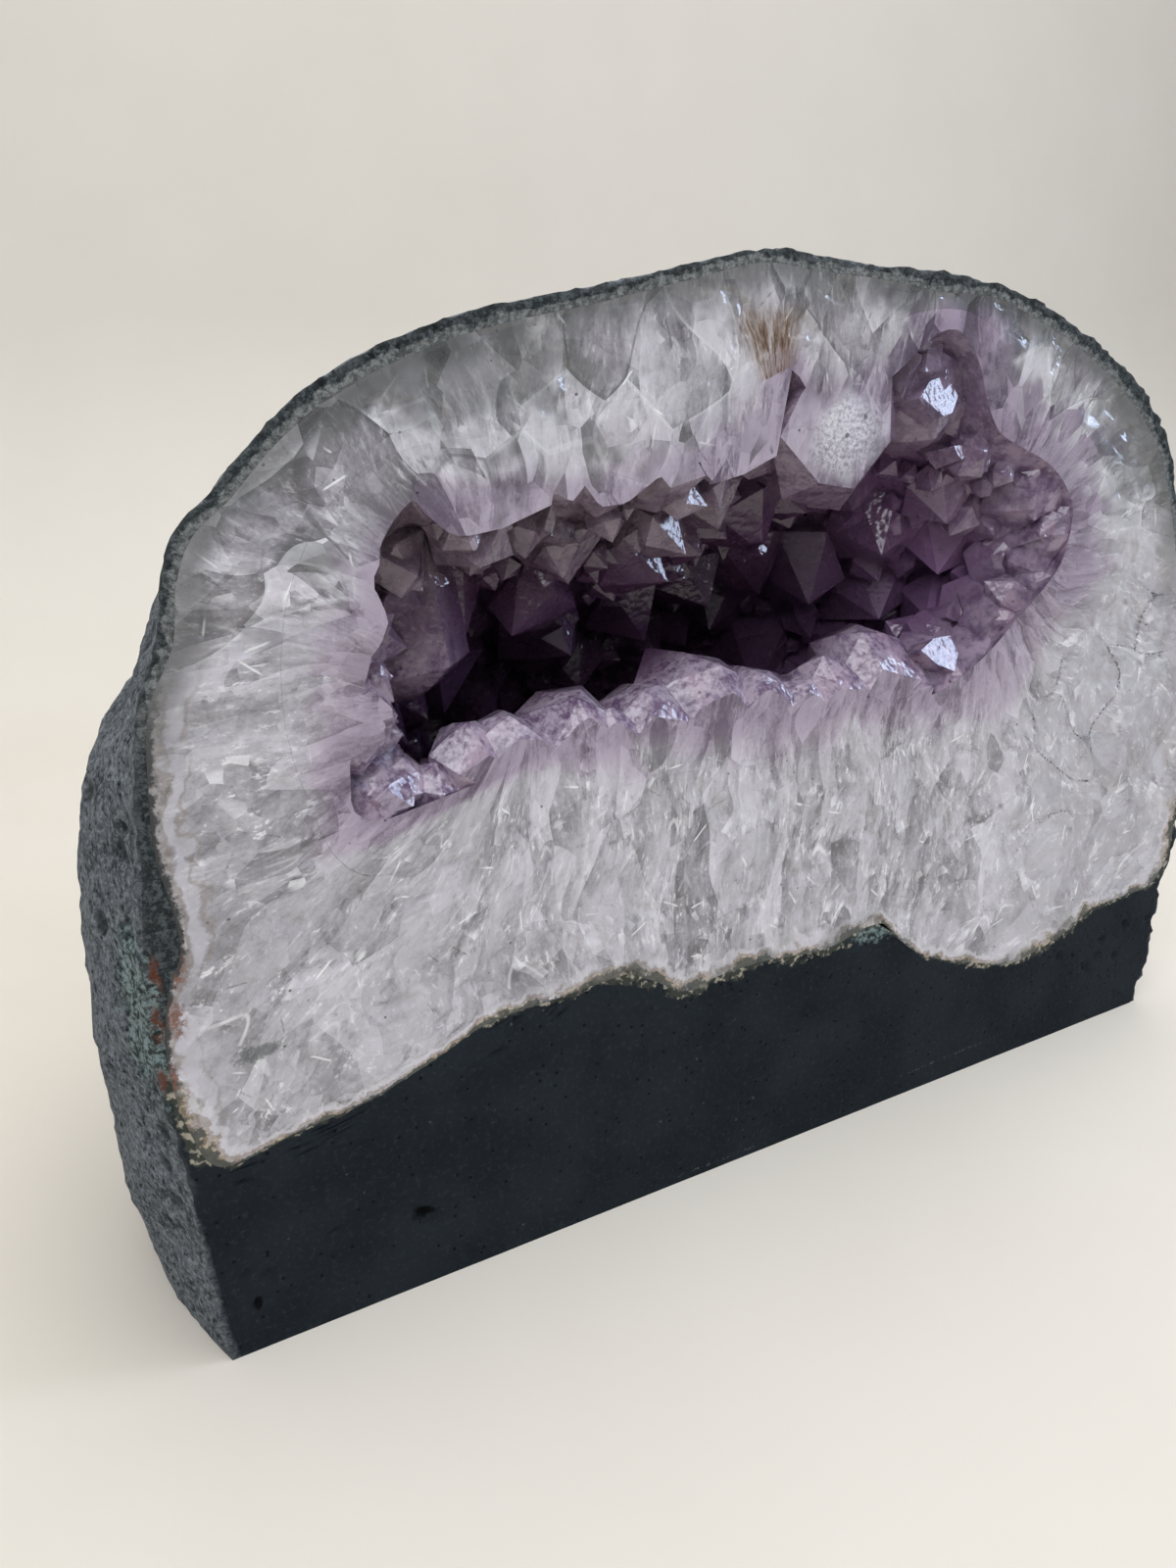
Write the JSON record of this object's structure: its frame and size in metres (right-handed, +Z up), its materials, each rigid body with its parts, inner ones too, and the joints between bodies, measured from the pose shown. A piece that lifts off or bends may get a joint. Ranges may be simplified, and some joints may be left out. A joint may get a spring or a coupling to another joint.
{
  "type": "amethyst geode",
  "caption": "Free-standing crystal geode with a sawn front and a sawn base: basalt rind, milky quartz band and a hollow lined with amethyst points.",
  "frame": {"origin": "middle of the bounding box in plan, on the plane of the sawn base", "axes": "+Z up from the sawn base, +X to the viewer's right along the sawn front, +Y from the sawn front into the stone"},
  "size_m": [0.2408, 0.1126, 0.1686],
  "materials": {
    "basalt": "matte",
    "quartz": "satin",
    "amethyst": "gloss"
  },
  "bodies": {
    "root": {"basalt_matrix": "basalt", "quartz_band": "quartz", "amethyst_crust": "amethyst"}
  },
  "joints": []
}
